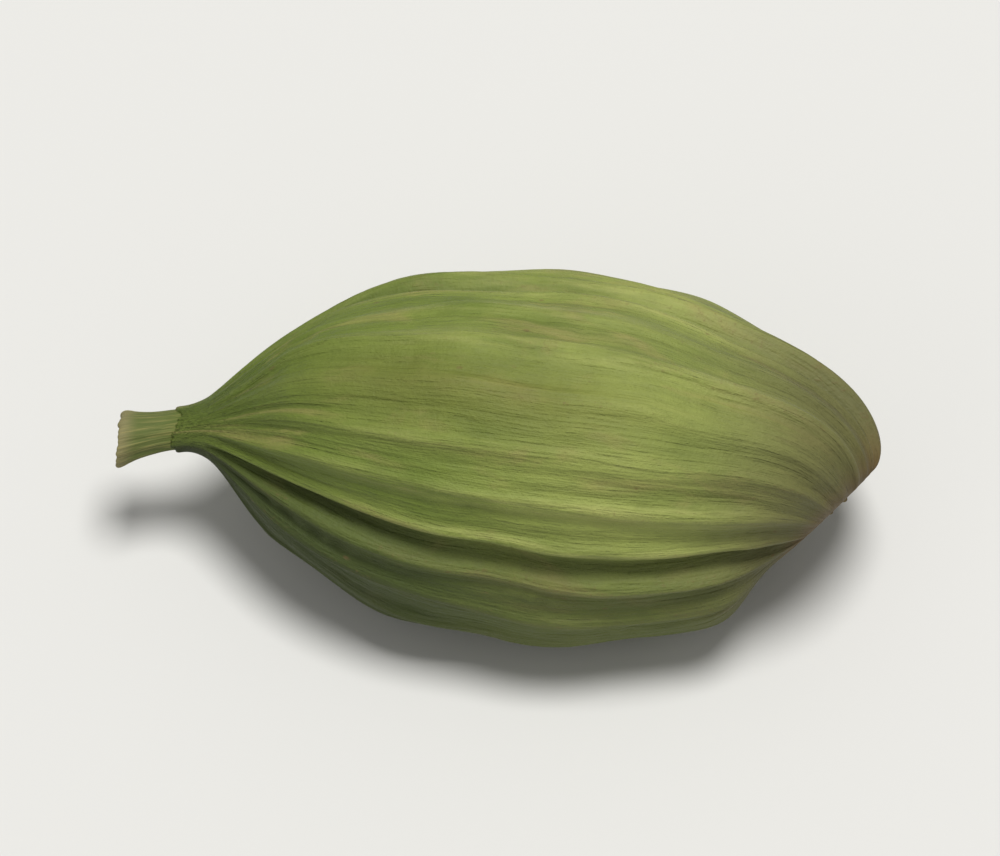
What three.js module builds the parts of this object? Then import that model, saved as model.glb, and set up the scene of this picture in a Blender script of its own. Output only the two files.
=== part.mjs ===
// A whole green cardamom pod, dried, lying on its side.
// Millimetres. +Z is up and +X runs from the cut stalk to the withered tip. The origin is on the
// surface that the pod rests on, under the middle of its box.
// The pod grew as one piece, so the husk, the stalk stub and the tip are one solid.

import * as THREE from 'three';

// Overall size, measured along the pod's middle line
const podLength = 16.4;
const meanRadius = 3.9;
const bellyFromStalk = 8.5;

// How full the pod stays from its belly towards the stalk, and how blunt it is towards the tip
const shoulderFullness = 2.6;
const tipSharpness = 0.57;

// Stalk stub: a thin neck that flares to a cut end with a sunken face
const stalkLength = 1.6;
const neckRadius = 0.44;
const cutEndRadius = 0.58;
const cutFaceSunk = 0.14;
const neckBlend = 0.9;

// Withered tip: a low scarred nub with a pit, in a dimple between the ends of the lobes
const dimpleDepth = 1.0;
const dimpleRadius = 1.0;
const nubLength = 0.3;
const nubRadius = 0.5;
const nubRimRadius = 0.34;
const nubPit = 0.16;
const nubBlend = 0.3;

// Both ends bend forward and down. Near the tip the middle line turns, ever more sharply, so that
// the back bulges out past the nub.
const bendDirection = THREE.MathUtils.degToRad(120);
const stalkDroop = 0.7;
const stalkBendLength = 4.4;
const tipTurn = THREE.MathUtils.degToRad(74);
const tipBendLength = 3.9;

// Three lobes, one of them rolled a little forward from the top, with a furrow between each two
const lobeCount = 3;
const lobeSwell = 0.1;
const furrowDepth = 0.24;
const furrowHalfAngle = THREE.MathUtils.degToRad(7);
const roll = THREE.MathUtils.degToRad(14);
const twist = THREE.MathUtils.degToRad(13);

// Ribs run from end to end, and fade where the husk narrows to its ends. Those beside a furrow
// stand taller, and so does every third rib. Each one swells and fades along the pod.
const ribsPerLobe = 7;
const ribHeight = 0.12;
const ribSharpness = 1.3;
const seamRibExtra = 0.7;
const seamRibReach = 0.45;
const thirdRibExtra = 0.4;
const firstTallRib = 2;
const ribUnevenness = 0.25;
const ribWaveLength = 7.8;
const ribWaveStep = 2.4;
const ribFadeRadius = 2.0;
const ribEndRadius = 0.3;

// Soft lumps where the seeds press on the husk, out of step from lobe to lobe
const lumpHeight = 0.05;
const lumpLength = 3.3;
const lumpStep = 2.1;

// The flat spot that the pod rests on, and the part of the underside round it that is smooth and
// less lobed
const restCut = 0.2;
const restSwellLost = 0.8;
const restMiddle = 9.0;
const restHalfLength = 3.6;
const restHalfAngle = THREE.MathUtils.degToRad(38);

// Each end face has one ring between its rim and its sunken middle
const innerRingShare = 0.5;
const innerRingSunk = 0.7;

// Fineness: sides to each rib, and rings from end to end
const sidesPerRib = 6;
const ringCount = 33;

const ribCount = lobeCount * ribsPerLobe;
const sideCount = ribCount * sidesPerRib;
const turn = 2 * Math.PI;
const lobeAngle = turn / lobeCount;

// The larger of two lengths, with the corner between them rounded off
function smoothMax(a, b, blend) {
  return 0.5 * (a + b + Math.sqrt((a - b) ** 2 + blend ** 2));
}

// An angle brought into the half turn on each side of zero
function wrapAngle(angle) {
  return angle - turn * Math.round(angle / turn);
}

// The plain outline: how wide the husk would be at a distance from the cut end of the stalk
function huskRadius(x) {
  if (x < bellyFromStalk) {
    const back = Math.min(1, (bellyFromStalk - x) / (bellyFromStalk - stalkLength));
    return meanRadius * (1 - back ** shoulderFullness);
  }
  const ahead = Math.min(1, (x - bellyFromStalk) / (podLength - nubLength - bellyFromStalk));
  return meanRadius * (1 - ahead ** 2) ** tipSharpness;
}

// The stub is widest at its cut end and thins to the neck
function stalkRadius(x) {
  const towardsCut = Math.max(0, 1 - x / stalkLength);
  return neckRadius + (cutEndRadius - neckRadius) * towardsCut ** 2;
}

// The nub keeps its width almost to the tip, where its rim rounds over
function tipRadius(x) {
  const overRim = Math.max(0, 1 - (podLength - x) / nubRimRadius);
  return nubRadius - (nubRadius - nubRimRadius) * overRim ** 2;
}

// How far the skin is drawn back along the pod by the dimple
function tipDimple(x) {
  return x < bellyFromStalk ? 0 : dimpleDepth * Math.exp(-((huskRadius(x) / dimpleRadius) ** 2));
}

function outlineRadius(x) {
  if (x < bellyFromStalk) {
    return smoothMax(huskRadius(x), stalkRadius(x), neckBlend) - neckBlend / 4;
  }
  const husk = smoothMax(huskRadius(x), tipRadius(x), nubBlend) - nubBlend / 4;
  return Math.min(husk, huskRadius(x) + tipRadius(x));
}

// How much of the relief there is: all of it on the body, and none on the stub or the nub
function reliefShare(x) {
  return Math.min(1, Math.max(0, (huskRadius(x) - ribEndRadius) / ribFadeRadius));
}

// How near a place is to the smooth underside, from 0 to 1. Angles run from the top to the front.
function undersideShare(x, angle) {
  const round = (wrapAngle(angle - Math.PI) / restHalfAngle) ** 4;
  const along = ((x - restMiddle) / restHalfLength) ** 4;
  return Math.exp(-round - along);
}

function angleFromFurrow(angle) {
  return wrapAngle(lobeCount * (angle - lobeAngle / 2)) / lobeCount;
}

// Ribs are crests at even angles, and the seam ribs are half a rib's step from a furrow
function ribRelief(x, angle) {
  const crest = 0.5 + 0.5 * Math.cos(ribCount * angle);
  const rib = Math.round(ribCount * angle / turn) % ribCount;
  const ribsFromFurrow = Math.abs(angleFromFurrow(angle)) / (turn / ribCount);
  const seamRib = Math.exp(-(((ribsFromFurrow - 0.5) / seamRibReach) ** 2));
  const tall = thirdRibExtra * Math.cos(turn * (rib - firstTallRib) / 3);
  const wave = ribUnevenness * Math.sin(turn * x / ribWaveLength + ribWaveStep * rib);
  return ribHeight * (1 + tall + wave + seamRibExtra * seamRib) * crest ** ribSharpness;
}

function furrowRelief(angle) {
  return -furrowDepth * Math.exp(-((angleFromFurrow(angle) / furrowHalfAngle) ** 2));
}

// Seeds lie in a row in each lobe and press out soft lumps along its back
function lumpRelief(x, angle) {
  const lobe = Math.round(angle / lobeAngle) % lobeCount;
  const onBack = Math.cos(lobeCount * angle / 2) ** 2;
  return lumpHeight * onBack * Math.sin(turn * x / lumpLength + lumpStep * lobe);
}

const bendWay = new THREE.Vector3(0, -Math.sin(bendDirection), Math.cos(bendDirection));

// The middle line turns with the square of the way into the bend. Summed along it, that carries a
// point across by a third of the turn, and back along the pod by a tenth of the turn squared.
function bend(point) {
  const nearCut = Math.max(0, 1 - point.x / stalkBendLength);
  const nearTip = Math.max(0, 1 - (podLength - point.x) / tipBendLength);
  const turned = tipTurn * nearTip ** 2;
  const forward = point.dot(bendWay);
  const across = tipBendLength * tipTurn * nearTip ** 3 / 3 + stalkDroop * nearCut ** 2;
  const backAlong = tipBendLength * tipTurn ** 2 * nearTip ** 5 / 10;
  point.addScaledVector(bendWay, across - forward * (1 - Math.cos(turned)));
  point.x -= backAlong + forward * Math.sin(turned);
  return point;
}

// A ring of the skin at a distance from the cut end. The corners follow the ribs as they twist.
// An end face has rings drawn in to a share of the width and sunk along the pod.
function skinRing(x, drawnIn = 1, sunk = 0) {
  const ring = [];
  for (let side = 0; side < sideCount; side += 1) {
    const patternAngle = turn * side / sideCount;
    const angle = patternAngle + roll + twist * (x / podLength - 0.5);
    const relief = ribRelief(x, patternAngle) + furrowRelief(patternAngle) + lumpRelief(x, patternAngle);
    const share = reliefShare(x);
    const underside = undersideShare(x, angle);
    const swell = lobeSwell * (1 - restSwellLost * underside);
    const lobed = 1 + share * swell * Math.cos(lobeCount * patternAngle);
    const raised = share * relief * (1 - underside);
    const radius = (outlineRadius(x) * lobed + raised) * drawnIn;
    const pulledIn = sunk - tipDimple(x);
    const point = new THREE.Vector3(x + pulledIn, -radius * Math.sin(angle), radius * Math.cos(angle));
    ring.push(bend(point));
  }
  return ring;
}

function podRings() {
  const rings = [skinRing(0, innerRingShare, cutFaceSunk * innerRingSunk)];
  for (let i = 0; i < ringCount; i += 1) {
    const x = podLength * (0.5 - 0.5 * Math.cos(Math.PI * i / (ringCount - 1)));
    rings.push(skinRing(x));
  }
  rings.push(skinRing(podLength, innerRingShare, -nubPit * innerRingSunk));
  return rings;
}

// Rings are joined into a skin, with a fan of triangles at each end
function closedSkin(rings, firstMiddle, lastMiddle) {
  const points = [...rings.flat(), firstMiddle, lastMiddle];
  const first = points.length - 2;
  const last = points.length - 1;
  const faces = [];
  for (let side = 0; side < sideCount; side += 1) {
    const next = (side + 1) % sideCount;
    for (let i = 0; i < rings.length - 1; i += 1) {
      const here = i * sideCount;
      const there = here + sideCount;
      faces.push(here + side, here + next, there + side);
      faces.push(here + next, there + next, there + side);
    }
    const end = (rings.length - 1) * sideCount;
    faces.push(first, next, side);
    faces.push(last, end + side, end + next);
  }
  const geometry = new THREE.BufferGeometry().setFromPoints(points);
  geometry.setIndex(faces);
  return geometry;
}

// The lowest stretch of the skin is pressed level, and the pod is set on the ground over the origin
function setDown(geometry) {
  geometry.computeBoundingBox();
  const level = geometry.boundingBox.min.z + restCut;
  const position = geometry.attributes.position;
  for (let i = 0; i < position.count; i += 1) {
    position.setZ(i, Math.max(position.getZ(i), level));
  }
  geometry.computeBoundingBox();
  const middle = geometry.boundingBox.getCenter(new THREE.Vector3());
  geometry.translate(-middle.x, -middle.y, -level);
  geometry.computeVertexNormals();
  return geometry;
}

const cutMiddle = bend(new THREE.Vector3(cutFaceSunk, 0, 0));
const pitMiddle = bend(new THREE.Vector3(podLength - dimpleDepth - nubPit, 0, 0));

const husk = new THREE.MeshStandardMaterial({ color: 0x84944a, roughness: 0.78, metalness: 0 });
const pod = new THREE.Mesh(setDown(closedSkin(podRings(), cutMiddle, pitMiddle)), husk);
pod.name = 'cardamom_pod';

const group = new THREE.Group();
group.add(pod);

export default group;
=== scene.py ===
"""A whole green cardamom pod, dried, lying on a pale table.

The husk, the stalk stub and the withered tip are each modelled round the pod's middle line, which
runs along X from the cut end of the stalk, and are then set in the frame's place.
"""

import math

import bmesh
import bpy
from bpy.props import FloatProperty, FloatVectorProperty, PointerProperty
from mathutils import Matrix, Vector, noise


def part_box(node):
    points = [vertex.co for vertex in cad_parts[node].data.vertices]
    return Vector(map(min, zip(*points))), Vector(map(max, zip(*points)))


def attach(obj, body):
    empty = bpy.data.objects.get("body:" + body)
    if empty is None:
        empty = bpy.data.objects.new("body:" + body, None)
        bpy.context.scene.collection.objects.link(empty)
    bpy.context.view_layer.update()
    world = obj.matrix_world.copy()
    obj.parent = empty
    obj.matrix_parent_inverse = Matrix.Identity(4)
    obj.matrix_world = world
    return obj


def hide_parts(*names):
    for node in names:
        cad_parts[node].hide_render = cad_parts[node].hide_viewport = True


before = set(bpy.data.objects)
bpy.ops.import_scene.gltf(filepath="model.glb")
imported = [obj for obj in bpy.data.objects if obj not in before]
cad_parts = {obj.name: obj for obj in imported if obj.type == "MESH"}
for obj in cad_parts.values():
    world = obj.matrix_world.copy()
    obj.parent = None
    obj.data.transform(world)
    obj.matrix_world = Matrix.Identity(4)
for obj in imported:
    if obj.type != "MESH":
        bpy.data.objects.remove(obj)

bl_info = {
    "name": "Green cardamom pod",
    "version": (1, 0, 0),
    "blender": (4, 5, 0),
    "location": "View3D > Sidebar > Cardamom",
    "description": "Models a dried green cardamom pod and the table it lies on",
    "category": "Add Mesh",
}

MM = 0.001
TURN = 2 * math.pi

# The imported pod's box gives the sizes and the place of the middle line, which is a little longer
# than the box because its ends bend
POD_NODE = "cardamom_pod"
POD_LOW, POD_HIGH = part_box(POD_NODE)
POD_SIZE = POD_HIGH - POD_LOW
SPAN = 1.0225 * POD_SIZE.x
MEAN_RADIUS = 0.48117 * POD_SIZE.y
MIDDLE_LINE = Vector((POD_LOW.x, -0.02368 * POD_SIZE.y, 0.46217 * POD_SIZE.z))

# The outline along the pod
BELLY = 0.51829 * SPAN
STALK_LENGTH = 1.6 * MM
SHOULDER_FULLNESS = 2.6
TIP_SHARPNESS = 0.57
NECK_RADIUS = 0.44 * MM
CUT_RADIUS = 0.58 * MM
NECK_BLEND = 0.9 * MM
NUB_LENGTH = 0.3 * MM
DIMPLE_DEPTH = 1.0 * MM
DIMPLE_RADIUS = 1.0 * MM

# The husk begins round the stalk with a ragged edge. Its last ring is hidden by the withered tip.
HUSK_START = 1.2 * MM
LAST_RING_SHORT = 0.005 * MM
HUSK_END = SPAN - NUB_LENGTH - LAST_RING_SHORT
LAST_RING_RADIUS = 0.1 * MM
RAGGED_REACH = 0.6 * MM
RAGGED_DEPTH = 0.16 * MM

# Both ends bend forward and down
BEND_DIRECTION = math.radians(120)
BEND_WAY = Vector((0, -math.sin(BEND_DIRECTION), math.cos(BEND_DIRECTION)))
STALK_DROOP = 0.7 * MM
STALK_BEND_LENGTH = 4.4 * MM
TIP_TURN = math.radians(74)
TIP_BEND_LENGTH = 3.9 * MM

# Three lobes, one of them rolled a little forward from the top, with a furrow between each two and
# a fine crease in its floor. The pattern twists along the pod and wanders a little to each side.
LOBES = 3
LOBE_ANGLE = TURN / LOBES
LOBE_SWELL = 0.1
FURROW_HALF_ANGLE = math.radians(7)
CREASE_HALF_ANGLE = math.radians(1.5)
CREASE_DEPTH_SHARE = 0.2
ROLL = math.radians(14)
TWIST = math.radians(13)
LONG_WANDER = math.radians(2.2)
SHORT_WANDER = math.radians(0.8)

# Ribs run from end to end. Those beside a furrow stand taller, and so does every third rib. Each
# one swells and fades along the pod, and is broken here and there.
RIBS = 21
RIB_SHARPNESS = 2.0
THIRD_RIB_EXTRA = 0.4
FIRST_TALL_RIB = 2
SEAM_RIB_EXTRA = 0.7
SEAM_RIB_REACH = 0.45
RIB_UNEVENNESS = 0.25
RIB_WAVE_LENGTH = 7.8 * MM
RIB_WAVE_STEP = 2.4
RIB_BREAKS = 0.35

# Lumps over the seeds, shallow dents, and short folds across the valleys in patches
LUMP_LENGTH = 3.3 * MM
LUMP_STEP = 2.1
DENT_DEPTH = 0.09 * MM
FOLD_EXTRA = 1.6
FOLD_COVER = 0.25

# The relief fades where the husk narrows to its ends
RELIEF_END_RADIUS = 0.3 * MM
RELIEF_FADE = 2.0 * MM

# The smooth part of the underside, which is less lobed
REST_MIDDLE = 9.0 * MM
REST_HALF_LENGTH = 3.6 * MM
REST_HALF_ANGLE = math.radians(38)
REST_SWELL_LOST = 0.8
REST_WRINKLES_LOST = 0.8

# Round the pod, the colours change on the middle of each lobe's back, and on the lower front lobe,
# whose deeper green is partly its own and partly painted shade, and ends sharply at the furrows
# beside it
LOBE_BACK_REACH = math.radians(14)
SHADED_SIDE = math.radians(122)
SHADED_REACH = math.radians(60)
SHADED_EDGE = 10

# Where each colour comes in or thins out along the pod, in millimetres from the stalk's cut end
GREEN_AND_PAINTED_SHADE_END_THINS = (2.5, 9.0)
PALE_HALF = (6.5, 11.0)
OLIVE_COMES = (3.0, 6.0)
OLIVE_THINS = (8.5, 12.5)
DEEP_AND_PAINTED_SHADE_THINS = (4.0, 11.0)
FURROW_PAINTED_SHADE_THINS = (4.0, 9.0)
DRY_END_AND_PAINTED_SHADE_COMES = (11.4, 15.0)
SCAR_COMES = (14.8, 15.7)
CUT_THINS = (0.05, 0.45)
NECK_GREEN_COMES = (0.7, 1.5)

# How fine the meshes are, and how near two places are taken as one
FINENESS = 3
HUSK_SIDES = 60
HUSK_RINGS = 24
END_SIDES = 28
SAME_PLACE = 1e-7


def linear(red, green, blue):
    """A colour given as the eye sees it, from 0 to 255, as the light values that shaders use."""
    return tuple((c / 255 / 12.92) if c < 11 else ((c / 255 + 0.055) / 1.055) ** 2.4
                 for c in (red, green, blue))


class HuskSettings(bpy.types.PropertyGroup):
    """The husk's relief and its colours"""

    rib_height: FloatProperty(
        name="Rib height", description="How far the long ribs stand out", default=0.115 * MM,
        min=0, max=0.4 * MM, precision=5, unit="LENGTH")
    furrow_depth: FloatProperty(
        name="Furrow depth", description="How deep the furrow between two lobes is",
        default=0.23 * MM, min=0, max=0.6 * MM, precision=5, unit="LENGTH")
    wrinkle_depth: FloatProperty(
        name="Wrinkle depth", description="How deep the fine wrinkles of the dry skin are",
        default=0.048 * MM, min=0, max=0.1 * MM, precision=6, unit="LENGTH")
    lump_height: FloatProperty(
        name="Lump height", description="How far the seeds press the husk out",
        default=0.06 * MM, min=0, max=0.3 * MM, precision=6, unit="LENGTH")
    field: FloatVectorProperty(
        name="Husk green", description="The colour of most of the husk", subtype="COLOR",
        default=linear(126, 138, 62), min=0, max=1)
    crest: FloatVectorProperty(
        name="Rib crests", description="The paler colour along the ribs", subtype="COLOR",
        default=linear(166, 168, 98), min=0, max=1)
    valley: FloatVectorProperty(
        name="Valleys", description="The deeper green between the ribs", subtype="COLOR",
        default=linear(83, 100, 29), min=0, max=1)
    tan: FloatVectorProperty(
        name="Tan tinge", description="The dry, brownish tinge in patches and at the tip",
        subtype="COLOR", default=linear(150, 138, 84), min=0, max=1)
    olive: FloatVectorProperty(
        name="Olive backs", description="The olive of the middle of each lobe's back",
        subtype="COLOR", default=linear(98, 102, 40), min=0, max=1)
    # The deep green is partly the lower front lobe's own colour and partly painted shade
    deep: FloatVectorProperty(
        name="Deep green", description="The deeper green of the lobe that grew in the shade",
        subtype="COLOR", default=linear(53, 64, 21), min=0, max=1)
    # Near the tip the dull olive brown is partly the husk's own drying and partly painted shade on
    # the end that turns away from the light
    dry_end_and_painted_shade: FloatVectorProperty(
        name="Dry end", description="The dull olive brown that the husk dries to near its tip",
        subtype="COLOR", default=linear(92, 88, 53), min=0, max=1)
    # The furrow colour is painted shade, darkening the furrows
    furrow: FloatVectorProperty(
        name="Furrows", description="The dark olive in the furrows", subtype="COLOR",
        default=linear(66, 74, 34), min=0, max=1)
    scuff: FloatVectorProperty(
        name="Scuffs", description="The brown of specks, worn ribs and the scar at the tip",
        subtype="COLOR", default=linear(104, 82, 50), min=0, max=1)


class EndSettings(bpy.types.PropertyGroup):
    """The colours of the stalk stub and the withered tip"""

    stalk: FloatVectorProperty(
        name="Stalk", description="The pale colour of the stalk stub", subtype="COLOR",
        default=linear(92, 102, 50), min=0, max=1)
    cut: FloatVectorProperty(
        name="Cut end", description="The straw colour of the stalk's cut end", subtype="COLOR",
        default=linear(128, 122, 82), min=0, max=1)
    withered: FloatVectorProperty(
        name="Withered tip", description="The brown of the dried flower base", subtype="COLOR",
        default=linear(92, 70, 44), min=0, max=1)


class StageSettings(bpy.types.PropertyGroup):
    """The table's colour, and where the camera stands"""

    floor: FloatVectorProperty(
        name="Floor", description="The colour of the table", subtype="COLOR",
        default=linear(214, 213, 209), min=0, max=1)
    azimuth: FloatProperty(
        name="Azimuth", description="How far the camera stands round to the right",
        default=math.radians(3), subtype="ANGLE")
    elevation: FloatProperty(
        name="Elevation", description="How high the camera looks down from",
        default=math.radians(61), subtype="ANGLE")
    lens: FloatProperty(
        name="Lens", description="The camera's focal length, in millimetres", default=300,
        min=50, max=1000)
    roll: FloatProperty(
        name="Roll", description="How far the camera leans, which tilts the pod in the picture",
        default=math.radians(2.75), subtype="ANGLE")
    share: FloatProperty(
        name="Share of the frame", description="How much of the frame's width the pod takes up",
        default=0.76, min=0.1, max=1)


def deselect_all():
    if bpy.context.mode != "OBJECT":
        bpy.ops.object.mode_set(mode="OBJECT")
    bpy.ops.object.select_all(action="DESELECT")


def smooth_max(a, b, blend):
    """The larger of two lengths, with the corner between them rounded off."""
    return 0.5 * (a + b + math.hypot(a - b, blend))


def wrap(angle):
    """An angle brought into the half turn on each side of zero."""
    return angle - TURN * round(angle / TURN)


def angle_round(point):
    """A point's angle round the middle line, from the top towards the front.

    On the line itself, where rounding could give any angle, it is the top's.
    """
    if math.hypot(point.y, point.z) < SAME_PLACE:
        return 0
    return math.atan2(-point.y, point.z)


def husk_radius(x):
    """The plain outline, which draws in to a point at both ends."""
    if x < BELLY:
        back = min(1, (BELLY - x) / (BELLY - STALK_LENGTH))
        return MEAN_RADIUS * (1 - back ** SHOULDER_FULLNESS)
    ahead = min(1, (x - BELLY) / (SPAN - NUB_LENGTH - BELLY))
    return MEAN_RADIUS * (1 - ahead ** 2) ** TIP_SHARPNESS


def stalk_radius(x):
    """The stub is widest at its cut end and thins to the neck."""
    towards_cut = max(0, 1 - x / STALK_LENGTH)
    return NECK_RADIUS + (CUT_RADIUS - NECK_RADIUS) * towards_cut ** 2


def outline_radius(x):
    """The husk's mean radius at a distance from the cut end of the stalk, its neck included."""
    if x < BELLY:
        return smooth_max(husk_radius(x), stalk_radius(x), NECK_BLEND) - NECK_BLEND / 4
    return max(husk_radius(x), LAST_RING_RADIUS)


def tip_dimple(x):
    """How far the skin is drawn back along the pod, in the dimple between the lobes' ends."""
    return 0 if x < BELLY else DIMPLE_DEPTH * math.exp(-(husk_radius(x) / DIMPLE_RADIUS) ** 2)


def relief_share(x):
    """How much of the relief there is: all of it on the body, and none at the ends."""
    return min(1, max(0, (husk_radius(x) - RELIEF_END_RADIUS) / RELIEF_FADE))


def underside_share(x, angle):
    """How near a place is to the smooth underside that the pod rests on, from 0 to 1."""
    return math.exp(-(wrap(angle - math.pi) / REST_HALF_ANGLE) ** 4
                    - ((x - REST_MIDDLE) / REST_HALF_LENGTH) ** 4)


def grain(x, angle, along, around):
    """Smooth noise on the skin, from -1 to 1: so many swells to a millimetre, and to a radian."""
    return noise.noise(Vector((along * x / MM, around * math.cos(angle), around * math.sin(angle))))


class SkinPlace:
    """Where a point of the skin is among the lobes, furrows and ribs."""

    def __init__(self, point):
        self.x = point.x
        self.angle = angle_round(point)
        straight = self.angle - ROLL - TWIST * (self.x / SPAN - 0.5)
        wander = LONG_WANDER * grain(self.x, straight, 0.16, 1.4)
        wander += SHORT_WANDER * grain(self.x, straight, 0.5, 4.0)
        self.pattern = straight + wander
        self.share = relief_share(self.x)
        self.from_furrow = wrap(LOBES * (self.pattern - LOBE_ANGLE / 2)) / LOBES
        self.rib = round(RIBS * self.pattern / TURN) % RIBS
        self.from_back = wrap(LOBES * self.pattern) / LOBES
        self.furrow = math.exp(-(self.from_furrow / FURROW_HALF_ANGLE) ** 2)
        self.crest = 0.5 + 0.5 * math.cos(RIBS * self.pattern)

    def rib_rise(self):
        """The height of the rib here, as a share of the usual rib height."""
        beside = (abs(self.from_furrow) / (TURN / RIBS) - 0.5) / SEAM_RIB_REACH
        seam = SEAM_RIB_EXTRA * math.exp(-beside ** 2)
        tall = THIRD_RIB_EXTRA * math.cos(TURN * (self.rib - FIRST_TALL_RIB) / 3)
        along = TURN * self.x / RIB_WAVE_LENGTH
        wave = RIB_UNEVENNESS * math.sin(along + RIB_WAVE_STEP * self.rib)
        broken = 1 + RIB_BREAKS * grain(self.x, self.pattern, 0.45, 3.5)
        return (1 + tall + wave + seam) * broken * self.crest ** RIB_SHARPNESS

    def back(self):
        """How near the place is to the middle of a lobe's back, from 0 to 1."""
        return math.exp(-(self.from_back / LOBE_BACK_REACH) ** 2)

    def deep_green_and_painted_shade_lobe(self):
        """1 on the lower front lobe, whose deeper green is partly its own and partly painted shade,
        and 0 on the others.
        """
        return math.exp(-(wrap(self.pattern - SHADED_SIDE) / SHADED_REACH) ** SHADED_EDGE)

    def form(self, husk):
        """How far the lobes, ribs, furrows and lumps raise the skin here."""
        underside = underside_share(self.x, self.angle)
        swell = LOBE_SWELL * (1 - REST_SWELL_LOST * underside)
        lobe = swell * outline_radius(self.x) * math.cos(LOBES * self.pattern)
        on_back = math.cos(LOBES * self.pattern / 2) ** 2
        row = LUMP_STEP * round(self.pattern / LOBE_ANGLE)
        lump = husk.lump_height * on_back * math.sin(TURN * self.x / LUMP_LENGTH + row)
        dent = DENT_DEPTH * grain(self.x, self.pattern, 0.42, 2.2)
        crease = CREASE_DEPTH_SHARE * math.exp(-(self.from_furrow / CREASE_HALF_ANGLE) ** 2)
        relief = husk.rib_height * self.rib_rise() + lump + dent
        relief -= husk.furrow_depth * (self.furrow + crease)
        return self.share * (lobe + relief * (1 - underside))

    def wrinkles(self, husk):
        """The fine relief of the dry skin: long fibres, and short folds across the valleys."""
        fibres = grain(self.x, self.pattern, 0.32, 12) + 0.5 * grain(self.x, self.pattern, 0.8, 27)
        folds = grain(self.x, self.pattern, 3.6, 5.0) * (1 - self.crest)
        folds *= max(0, grain(self.x, self.pattern, 0.5, 2.5) + FOLD_COVER)
        share = self.share * (1 - REST_WRINKLES_LOST * underside_share(self.x, self.angle))
        return share * husk.wrinkle_depth * (fibres + FOLD_EXTRA * folds)


def bent(point, drawn_back):
    """The point, drawn back along the pod, after the ends have been bent.

    The middle line turns with the square of the way into the bend. Summed along it, that carries
    a point across by a third of the turn, and back along the pod by a tenth of the turn squared.
    """
    along = point.x - drawn_back
    near_cut = max(0, 1 - along / STALK_BEND_LENGTH)
    near_tip = max(0, 1 - (SPAN - along) / TIP_BEND_LENGTH)
    turned = TIP_TURN * near_tip ** 2
    forward = point.dot(BEND_WAY)
    across = TIP_BEND_LENGTH * TIP_TURN * near_tip ** 3 / 3 + STALK_DROOP * near_cut ** 2
    back_along = TIP_BEND_LENGTH * TIP_TURN ** 2 * near_tip ** 5 / 10
    moved = point + BEND_WAY * (across - forward * (1 - math.cos(turned)))
    moved.x = along - back_along - forward * math.sin(turned)
    return moved


def select_where(piece, test):
    """In edit mode, selects the vertices whose place passes the test, and nothing else."""
    mesh = bmesh.from_edit_mesh(piece.data)
    for vertex in mesh.verts:
        vertex.select = bool(test(vertex.co))
    mesh.select_flush_mode()
    bmesh.update_edit_mesh(piece.data)


def draw_tube(name, sides, rings, twisted=False):
    """A circle is drawn out along the pod from ring to ring, and both ends are gathered shut.

    Each ring is its place along the pod and its radius. The piece is left in edit mode.
    """
    start, radius = rings[0]
    deselect_all()
    bpy.ops.mesh.primitive_circle_add(
        vertices=sides, radius=radius, location=(start, 0, 0), rotation=(0, math.pi / 2, 0))
    tube = bpy.context.active_object
    tube.name = name
    tube.data.name = name
    bpy.ops.object.transform_apply(location=True, rotation=True, scale=True)
    bpy.ops.object.mode_set(mode="EDIT")
    bpy.ops.mesh.select_mode(type="VERT")
    bpy.ops.mesh.select_all(action="SELECT")
    for (x, radius), (next_x, next_radius) in zip(rings, rings[1:]):
        middle = (next_x, 0, 0)
        grown = next_radius / radius
        bpy.ops.mesh.extrude_region_move(TRANSFORM_OT_translate={"value": (next_x - x, 0, 0)})
        bpy.ops.transform.resize(value=(1, grown, grown), center_override=middle)
        if twisted:
            bpy.ops.transform.rotate(
                value=TWIST * (next_x - x) / SPAN, orient_axis="X", center_override=middle)
    gather_shut()
    select_where(tube, lambda place: abs(place.x - start) < SAME_PLACE)
    gather_shut()
    bpy.ops.mesh.select_all(action="SELECT")
    bpy.ops.mesh.normals_make_consistent(inside=False)
    return tube


def gather_shut():
    """The selected ring is drawn in to its middle."""
    bpy.ops.mesh.extrude_region_move(TRANSFORM_OT_translate={"value": (0, 0, 0)})
    bpy.ops.mesh.merge(type="CENTER")


def apply_modifier(piece, name, kind, **settings):
    modifier = piece.modifiers.new(name, kind)
    for key, value in settings.items():
        setattr(modifier, key, value)
    bpy.ops.object.modifier_apply(modifier=modifier.name)


def round_off(piece):
    """The piece leaves edit mode, and its coarse mesh is made fine and smooth."""
    bpy.ops.object.mode_set(mode="OBJECT")
    apply_modifier(piece, "round", "SUBSURF", levels=FINENESS, render_levels=FINENESS)


def raise_skin(piece, heights):
    """Heights are painted on the skin as weights, and it is pushed out, and then in, by them."""
    for name, way in (("out", 1), ("in", -1)):
        most = max(way * height for height in heights)
        if most <= 0:
            continue
        painted = piece.vertex_groups.new(name=name)
        for index, height in enumerate(heights):
            painted.add([index], max(0, way * height) / most, "REPLACE")
        apply_modifier(piece, name, "DISPLACE", strength=way * most, mid_level=0, vertex_group=name)
        piece.vertex_groups.remove(piece.vertex_groups[name])


def paint(piece, name, values):
    """A number for each vertex, which the finish reads by its name."""
    layer = piece.data.attributes.new(name, "FLOAT", "POINT")
    layer.data.foreach_set("value", values)


def paint_growth(piece):
    """Each vertex keeps its place on an even tube, in millimetres.

    A pattern that reads it runs along the ribs, and draws together at both ends.
    """
    layer = piece.data.attributes.new("growth", "FLOAT_VECTOR", "POINT")
    around = MEAN_RADIUS / MM
    even = []
    for vertex in piece.data.vertices:
        place = SkinPlace(vertex.co)
        even += [place.x / MM, around * math.cos(place.pattern), around * math.sin(place.pattern)]
    layer.data.foreach_set("vector", even)


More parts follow.
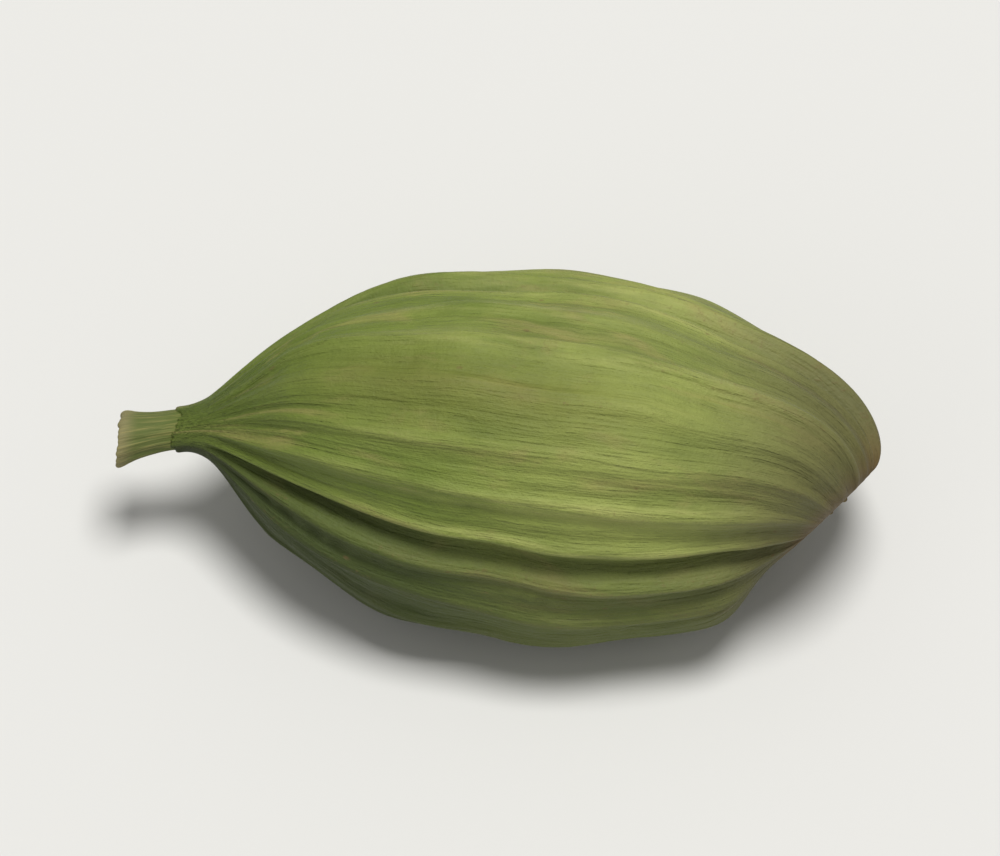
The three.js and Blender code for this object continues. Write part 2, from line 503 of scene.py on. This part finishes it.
def set_in_place(piece, dimple):
    """The straight piece is bent, and moved to the frame's place on the table.

    The dimple tells how far a place along the pod is drawn back.
    """
    for vertex in piece.data.vertices:
        vertex.co = bent(vertex.co, dimple(vertex.co.x)) + MIDDLE_LINE
    piece.data.update()


def finish_piece(piece, finish):
    """The piece gets its finish, and rides on the pod's one body."""
    deselect_all()
    piece.select_set(True)
    bpy.context.view_layer.objects.active = piece
    bpy.ops.object.shade_smooth()
    piece.data.materials.clear()
    piece.data.materials.append(finish)
    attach(piece, "root")


class Wire:
    """A socket of a node tree. Arithmetic on wires adds the Math nodes that it stands for."""

    def __init__(self, finish, socket):
        self.finish = finish
        self.socket = socket

    def math(self, operation, *values):
        return self.finish.node("ShaderNodeMath", {"operation": operation}, dict(enumerate(values)))

    def __add__(self, other):
        return self.math("ADD", self, other)

    def __radd__(self, other):
        return self.math("ADD", other, self)

    def __sub__(self, other):
        return self.math("SUBTRACT", self, other)

    def __rsub__(self, other):
        return self.math("SUBTRACT", other, self)

    def __mul__(self, other):
        return self.math("MULTIPLY", self, other)

    def __rmul__(self, other):
        return self.math("MULTIPLY", other, self)

    def __pow__(self, other):
        return self.math("POWER", self, other)

    def ramp(self, start, end):
        """0 up to start and 1 from end on, with a smooth rise between them."""
        return self.finish.node(
            "ShaderNodeMapRange", {"interpolation_type": "SMOOTHSTEP"},
            {"Value": self, "From Min": start, "From Max": end})


class Finish:
    """A material in the making. One method adds any node, and gives back one of its outputs."""

    def __init__(self, name):
        self.material = bpy.data.materials.new(name)
        self.material.use_nodes = True
        self.tree = self.material.node_tree
        self.tree.nodes.clear()

    def node(self, kind, settings, sockets, output=0):
        node = self.tree.nodes.new(kind)
        for key, value in settings.items():
            setattr(node, key, value)
        for key, value in sockets.items():
            if isinstance(value, Wire):
                self.tree.links.new(value.socket, node.inputs[key])
            else:
                node.inputs[key].default_value = value
        return Wire(self, node.outputs[output]) if node.outputs else None

    def painted(self, name, output):
        return self.node("ShaderNodeAttribute", {"attribute_name": name}, {}, output)

    def stretched(self, growth, along, around):
        """The place on the skin, scaled along the pod and around it."""
        return self.node("ShaderNodeMapping", {}, {
            "Vector": growth, "Scale": (along, around, around)})

    def noise(self, vector, detail, roughness, scale=1.0, distortion=0.0):
        return self.node("ShaderNodeTexNoise", {}, {
            "Vector": vector, "Scale": scale, "Detail": detail, "Roughness": roughness,
            "Distortion": distortion})

    def mix(self, first, second, share, blend="MIX"):
        """The first colour, giving way to the second by a share from 0 to 1."""
        def colour(value):
            return value if isinstance(value, Wire) else (*value[:3], 1.0)
        return self.node(
            "ShaderNodeMix", {"data_type": "RGBA", "blend_type": blend},
            {0: share, 6: colour(first), 7: colour(second)}, 2)

    def bump(self, height, strength, distance, normal=None):
        sockets = {"Height": height, "Strength": strength, "Distance": distance}
        if normal is not None:
            sockets["Normal"] = normal
        return self.node("ShaderNodeBump", {}, sockets)

    def shaded(self, colour, shade):
        """The colour, made darker or lighter by a number near 1."""
        grey = self.node("ShaderNodeCombineXYZ", {}, {0: shade, 1: shade, 2: shade})
        return self.mix(colour, grey, 1.0, "MULTIPLY")

    def close(self, **sockets):
        """The shader and the output. Socket names are written with _ for a space."""
        named = {key.replace("_", " "): value for key, value in sockets.items()}
        shader = self.node("ShaderNodeBsdfPrincipled", {}, named)
        self.node("ShaderNodeOutputMaterial", {}, {"Surface": shader})
        return self.material


def ragged_edge(point):
    """How far the husk's edge round the stalk stands back along the pod here, unevenly."""
    near_edge = max(0, 1 - (point.x - HUSK_START) / RAGGED_REACH)
    angle = angle_round(point)
    return near_edge * RAGGED_DEPTH * (grain(0, angle, 1, 1.9) + 0.5 * grain(0, angle, 1, 5.0))


def husk_finish(husk):
    """Dry plant skin: green in soft patches, pale along the ribs, with painted shade in the
    furrows, on the lower front lobe and towards both ends.
    """
    skin = Finish("dry_husk")
    growth = skin.painted("growth", "Vector")
    along = skin.node("ShaderNodeSeparateXYZ", {}, {"Vector": growth}, "X")
    crest = skin.painted("crest", "Fac")
    furrow = skin.painted("furrow", "Fac")
    back = skin.painted("back", "Fac")
    deep_green_and_painted_shade_lobe = skin.painted("deep_green_and_painted_shade_lobe", "Fac")

    patches = skin.noise(skin.stretched(growth, 0.22, 0.5), detail=3.0, roughness=0.55)
    streaks = skin.noise(skin.stretched(growth, 0.5, 5.0), detail=4.0, roughness=0.6)
    veins = skin.noise(skin.stretched(growth, 0.35, 8.0), detail=2.0, roughness=0.5)
    fibres = skin.noise(skin.stretched(growth, 1.4, 16.0), detail=3.0, roughness=0.6)
    mottle = skin.noise(growth, detail=5.0, roughness=0.62, scale=2.6)
    grains = skin.noise(growth, detail=3.0, roughness=0.6, scale=14.0)
    dry = skin.noise(
        skin.stretched(growth, 0.3, 0.9), detail=4.0, roughness=0.6, scale=1.3, distortion=0.6)
    specks = skin.node("ShaderNodeTexVoronoi", {"feature": "F1"}, {
        "Vector": skin.stretched(growth, 0.8, 1.5), "Scale": 1.1, "Randomness": 1.0})

    # Each colour covers those before it, by its share
    layers = (
        (husk.field, patches.ramp(0.25, 0.55)),
        (husk.valley, (1 - crest) ** 2.0 * streaks.ramp(0.3, 0.7) * 0.35),
        (husk.crest, crest ** 1.5 * streaks.ramp(0.35, 0.75) * 0.6),
        (husk.crest, along.ramp(*PALE_HALF) * 0.25),
        # Deeper green towards the stalk end, partly the husk's own green and partly painted shade
        (husk.valley, (1 - along.ramp(*GREEN_AND_PAINTED_SHADE_END_THINS)) * 0.75),
        (husk.tan, dry.ramp(0.5, 0.74) * 0.6),
        (husk.olive, back * along.ramp(*OLIVE_COMES) * (1 - along.ramp(*OLIVE_THINS)) * 0.65),
        # Painted shade, with some real deeper green, on the lower front lobe, strongest towards the
        # stalk end
        (husk.deep, deep_green_and_painted_shade_lobe * (0.95 - 0.3 * along.ramp(*DEEP_AND_PAINTED_SHADE_THINS))),
        # Partly real drying and partly painted shade towards the tip
        (husk.dry_end_and_painted_shade, along.ramp(*DRY_END_AND_PAINTED_SHADE_COMES) * 0.85),
        # Painted shade in the furrows, darker towards the stalk end
        (husk.furrow, furrow ** 1.5 * (0.75 - 0.4 * along.ramp(*FURROW_PAINTED_SHADE_THINS))),
        (husk.scuff, (1 - specks.ramp(0.03, 0.1)) * mottle.ramp(0.45, 0.6) * 0.6),
        (husk.scuff, (grains * crest).ramp(0.52, 0.75) * dry.ramp(0.4, 0.6) * 0.5),
        (husk.scuff, along.ramp(*SCAR_COMES) * 0.85),
    )
    colour = husk.valley
    for cover, share in layers:
        colour = skin.mix(colour, cover, share)
    colour = skin.shaded(colour, 0.64 + 0.3 * fibres + 0.28 * mottle + 0.16 * veins + 0.1 * grains)

    normal = skin.bump(veins, 0.55, 0.09 * MM)
    normal = skin.bump(fibres, 0.7, 0.06 * MM, normal)
    normal = skin.bump(grains + 0.8 * mottle, 0.8, 0.03 * MM, normal)
    return skin.close(
        Base_Color=colour, Roughness=0.54 + 0.24 * mottle, Normal=normal, Specular_IOR_Level=0.35)


def stalk_finish(ends, husk):
    """A dry stalk: straw at the cut, and long fibres that turn green where the husk begins."""
    stalk = Finish("pale_stalk")
    growth = stalk.painted("growth", "Vector")
    along = stalk.node("ShaderNodeSeparateXYZ", {}, {"Vector": growth}, "X")
    fibres = stalk.noise(stalk.stretched(growth, 1.2, 3.2), detail=4.0, roughness=0.6)
    mottle = stalk.noise(growth, detail=4.0, roughness=0.6, scale=3.0)
    colour = stalk.mix(ends.cut, ends.stalk, along.ramp(*CUT_THINS))
    colour = stalk.mix(colour, husk.valley, along.ramp(*NECK_GREEN_COMES) * 0.5)
    colour = stalk.mix(colour, husk.tan, fibres.ramp(0.45, 0.75) * 0.6)
    colour = stalk.shaded(colour, 0.7 + 0.3 * fibres + 0.3 * mottle)
    normal = stalk.bump(fibres + 0.4 * mottle, 0.5, 0.05 * MM)
    return stalk.close(Base_Color=colour, Roughness=0.75, Normal=normal, Specular_IOR_Level=0.3)


def withered_finish(ends, husk):
    """Dried brown tissue with tan flecks."""
    tip = Finish("withered_brown")
    growth = tip.painted("growth", "Vector")
    mottle = tip.noise(growth, detail=5.0, roughness=0.65, scale=4.0)
    colour = tip.mix(ends.withered, husk.tan, mottle.ramp(0.42, 0.75))
    normal = tip.bump(mottle, 0.6, 0.06 * MM)
    return tip.close(Base_Color=colour, Roughness=0.8, Normal=normal, Specular_IOR_Level=0.25)


class POD_OT_husk(bpy.types.Operator):
    """Draw out the husk, raise its lobes, furrows, ribs and wrinkles, and press it level below"""

    bl_idname = "pod.husk"
    bl_label = "Husk"

    def execute(self, context):
        husk = context.scene.pod_husk
        rings = []
        for i in range(HUSK_RINGS):
            closer_at_ends = 0.5 - 0.5 * math.cos(math.pi * i / (HUSK_RINGS - 1))
            x = HUSK_START + (HUSK_END - HUSK_START) * closer_at_ends
            rings.append((x, outline_radius(x)))
        piece = draw_tube("husk", HUSK_SIDES, rings, twisted=True)
        round_off(piece)

        places = [SkinPlace(vertex.co) for vertex in piece.data.vertices]
        paint_growth(piece)
        paint(piece, "crest", [min(1, place.rib_rise() * place.share) for place in places])
        paint(piece, "furrow", [place.furrow * place.share for place in places])
        paint(piece, "back", [place.back() for place in places])
        paint(piece, "deep_green_and_painted_shade_lobe", [place.deep_green_and_painted_shade_lobe() for place in places])
        raise_skin(piece, [place.form(husk) for place in places])
        raise_skin(piece, [place.wrinkles(husk) for place in places])
        for vertex in piece.data.vertices:
            vertex.co.x += ragged_edge(vertex.co)
        set_in_place(piece, tip_dimple)

        bpy.ops.object.mode_set(mode="EDIT")
        select_where(piece, lambda place: place.z < 0)
        bpy.ops.transform.resize(value=(1, 1, 0), center_override=(0, 0, 0))
        bpy.ops.object.mode_set(mode="OBJECT")
        finish_piece(piece, husk_finish(husk))
        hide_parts(POD_NODE)
        return {"FINISHED"}


class POD_OT_stalk(bpy.types.Operator):
    """Draw out the stalk stub, with its flared cut end and its long wrinkles"""

    bl_idname = "pod.stalk"
    bl_label = "Stalk stub"

    # From the middle of the sunken cut face, over its rim and down into the husk: the place along
    # the pod and the radius, in millimetres
    profile = (
        (0.16, 0.12), (0.12, 0.28), (0.03, 0.46), (0.0, 0.56), (0.08, 0.61), (0.22, 0.58),
        (0.45, 0.51), (0.75, 0.465), (1.05, 0.445), (1.35, 0.45), (1.6, 0.46), (1.8, 0.42),
        (1.95, 0.2))
    calm_radius = 0.4 * MM
    fold_depth = 0.05 * MM
    tear_depth = 0.04 * MM
    tear_length = 0.3 * MM

    def execute(self, context):
        rings = [(x * MM, radius * MM) for x, radius in self.profile]
        piece = draw_tube("stalk_stub", END_SIDES, rings)
        round_off(piece)
        paint_growth(piece)
        raise_skin(piece, [self.relief(vertex.co) for vertex in piece.data.vertices])
        set_in_place(piece, tip_dimple)
        finish_piece(piece, stalk_finish(context.scene.pod_ends, context.scene.pod_husk))
        return {"FINISHED"}

    def relief(self, point):
        """Long wrinkles and a torn rim, which calm down towards the middle of the cut face."""
        angle = angle_round(point)
        out = min(1, math.hypot(point.y, point.z) / self.calm_radius)
        folds = grain(point.x, angle, 0.5, 2.2) + 0.6 * grain(point.x, angle, 1.2, 5.0)
        torn = grain(0, angle, 1, 3.1) * max(0, 1 - point.x / self.tear_length)
        return out * (self.fold_depth * folds + self.tear_depth * torn)


class POD_OT_tip(bpy.types.Operator):
    """Draw out the withered flower base that is left at the tip, with its shrunken rim"""

    bl_idname = "pod.tip"
    bl_label = "Withered tip"

    # From inside the husk, out over the rim and into the pit: the place along the pod, counted
    # from its end, and the radius, in millimetres
    profile = (
        (-0.6, 0.25), (-0.45, 0.42), (-0.33, 0.46), (-0.24, 0.4), (-0.14, 0.35), (-0.05, 0.34),
        (0.0, 0.29), (-0.02, 0.22), (-0.09, 0.15), (-0.15, 0.07))
    calm_radius = 0.3 * MM
    shrink_depth = 0.1 * MM

    def execute(self, context):
        rings = [(SPAN + x * MM, radius * MM) for x, radius in self.profile]
        piece = draw_tube("withered_tip", END_SIDES, rings)
        round_off(piece)
        paint_growth(piece)
        raise_skin(piece, [self.relief(vertex.co) for vertex in piece.data.vertices])
        set_in_place(piece, lambda x: DIMPLE_DEPTH)
        finish_piece(piece, withered_finish(context.scene.pod_ends, context.scene.pod_husk))
        return {"FINISHED"}

    def relief(self, point):
        """Uneven shrinking, which calms down towards the middle of the pit."""
        angle = angle_round(point)
        out = min(1, math.hypot(point.y, point.z) / self.calm_radius)
        shrunk = grain(point.x, angle, 1.5, 1.6) + 0.6 * grain(point.x, angle, 4, 4.0)
        return out * self.shrink_depth * shrunk


class POD_OT_stage(bpy.types.Operator):
    """Lay the table, hang the lights and point the camera"""

    bl_idname = "pod.stage"
    bl_label = "Table, lights and camera"

    table_width = 3
    room_light = 0.3
    sensor_width = 36
    nearest_seen = 1 * MM

    def execute(self, context):
        stage = context.scene.pod_stage
        deselect_all()
        bpy.ops.mesh.primitive_plane_add(size=self.table_width, location=(0, 0, 0))
        floor = context.active_object
        floor.name = "table"
        paper = Finish("pale_table")
        floor.data.materials.append(paper.close(
            Base_Color=(*stage.floor, 1), Roughness=0.9, Specular_IOR_Level=0.1))

        world = bpy.data.worlds.new("soft_room")
        context.scene.world = world
        world.use_nodes = True
        sky = world.node_tree.nodes["Background"]
        sky.inputs["Color"].default_value = (1, 1, 1, 1)
        sky.inputs["Strength"].default_value = self.room_light

        self.hang_light("key", place=(0.04, 0.02, 0.56), size=0.2, power=3.0)
        self.hang_light("fill", place=(-0.35, -0.35, 0.3), size=0.4, power=0.2)
        self.point_camera(context, stage)
        context.scene.view_settings.view_transform = "Standard"
        return {"FINISHED"}

    def hang_light(self, name, place, size, power):
        """A round soft light that points at the pod. Metres and watts."""
        place = Vector(place)
        bpy.ops.object.light_add(type="AREA", location=place)
        light = bpy.context.active_object
        light.name = name
        light.data.shape = "DISK"
        light.data.size = size
        light.data.energy = power
        light.rotation_euler = (-place).to_track_quat("-Z", "Y").to_euler()

    def point_camera(self, context, stage):
        """The camera stands as far off as makes the pod fill its share of the frame."""
        ahead = math.cos(stage.elevation)
        back = Vector((
            math.sin(stage.azimuth) * ahead, -math.cos(stage.azimuth) * ahead,
            math.sin(stage.elevation)))
        middle = (POD_LOW + POD_HIGH) / 2
        distance = POD_SIZE.x / stage.share * stage.lens / self.sensor_width
        level = (-back).to_track_quat("-Z", "Y").to_matrix()
        leaning = level @ Matrix.Rotation(stage.roll, 3, "Z")
        bpy.ops.object.camera_add(location=middle + back * distance, rotation=leaning.to_euler())
        camera = context.active_object
        camera.name = "camera"
        camera.data.lens = stage.lens
        camera.data.sensor_width = self.sensor_width
        camera.data.clip_start = self.nearest_seen
        context.scene.camera = camera


class POD_PT_panel(bpy.types.Panel):
    """Lists the pod's pieces and the stage"""

    bl_label = "Green cardamom pod"
    bl_idname = "POD_PT_panel"
    bl_space_type = "VIEW_3D"
    bl_region_type = "UI"
    bl_category = "Cardamom"

    def draw(self, context):
        for operator in OPERATORS:
            self.layout.operator(operator.bl_idname)


GROUPS = {"pod_husk": HuskSettings, "pod_ends": EndSettings, "pod_stage": StageSettings}
OPERATORS = (POD_OT_husk, POD_OT_stalk, POD_OT_tip, POD_OT_stage)
CLASSES = (*GROUPS.values(), *OPERATORS, POD_PT_panel)


def register():
    for entry in CLASSES:
        bpy.utils.register_class(entry)
    for name, group in GROUPS.items():
        setattr(bpy.types.Scene, name, PointerProperty(type=group))


def unregister():
    for name in GROUPS:
        delattr(bpy.types.Scene, name)
    for entry in reversed(CLASSES):
        bpy.utils.unregister_class(entry)


def main():
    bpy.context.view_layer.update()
    register()
    bpy.ops.pod.husk()
    bpy.ops.pod.stalk()
    bpy.ops.pod.tip()
    bpy.ops.pod.stage()


if __name__ == "__main__":
    main()
